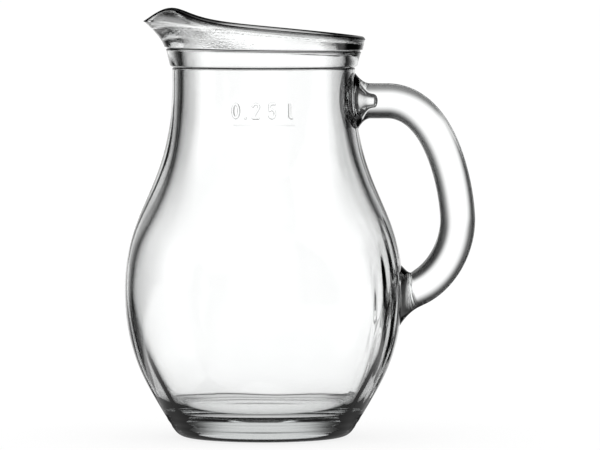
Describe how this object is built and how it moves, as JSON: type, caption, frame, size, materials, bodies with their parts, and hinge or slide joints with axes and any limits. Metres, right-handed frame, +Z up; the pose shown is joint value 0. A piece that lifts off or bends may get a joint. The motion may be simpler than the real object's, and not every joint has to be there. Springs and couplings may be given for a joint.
{
  "type": "glass jug",
  "caption": "Small clear glass serving jug: pear-shaped vessel on a thick foot, slanted rim drawn into a pouring spout, and a solid glass rod handle welded on opposite it.",
  "frame": {"origin": "centre of the flat underside of the foot, on the surface that the jug stands on", "axes": "+Z up along the vessel's axis, +X towards the handle, -X towards the spout"},
  "size_m": [0.0998, 0.0788, 0.1213],
  "materials": {
    "clear_glass": "fire-polished, colourless"
  },
  "bodies": {
    "root": {"vessel": "clear_glass", "handle": "clear_glass"}
  },
  "joints": []
}
